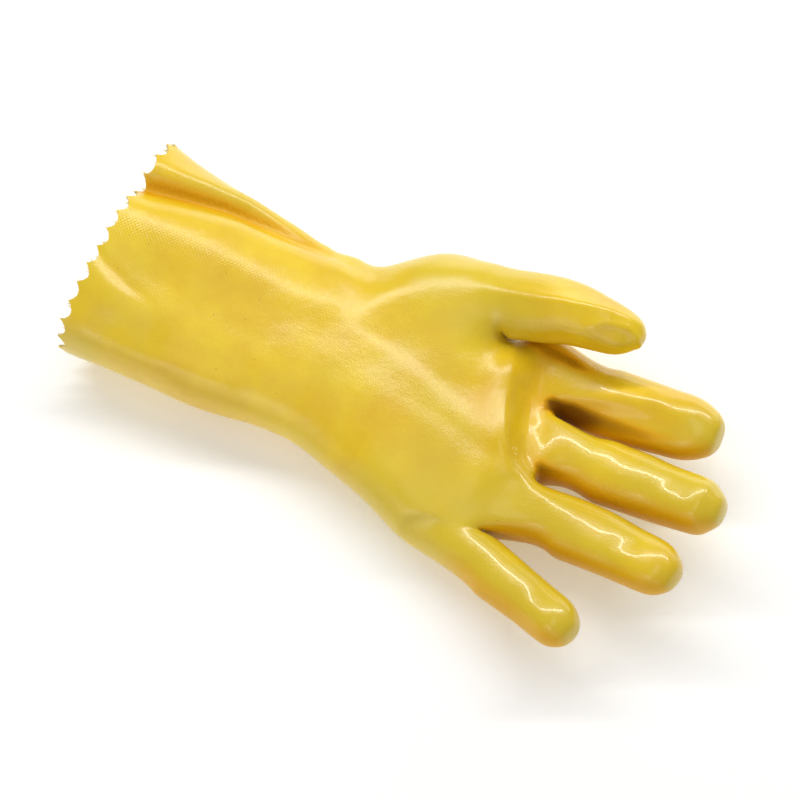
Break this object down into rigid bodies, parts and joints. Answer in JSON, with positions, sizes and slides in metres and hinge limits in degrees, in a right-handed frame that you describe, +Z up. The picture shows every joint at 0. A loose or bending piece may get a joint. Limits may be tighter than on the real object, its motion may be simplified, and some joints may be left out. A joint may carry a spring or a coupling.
{
  "type": "pvc coated work glove",
  "caption": "Yellow PVC coated work glove for the left hand, a long dipped gauntlet with a pinked open cuff, lying on its back with curled fingers.",
  "frame": {"origin": "bottom centre of the bounding box, on the surface the glove lies on", "axes": "+X from the open cuff to the fingertips, +Y to the thumb side, +Z up out of the palm"},
  "size_m": [0.2996, 0.1522, 0.0609],
  "materials": {
    "pvc_coating": "gloss"
  },
  "bodies": {
    "root": {"glove_shell": "pvc_coating"}
  },
  "joints": []
}
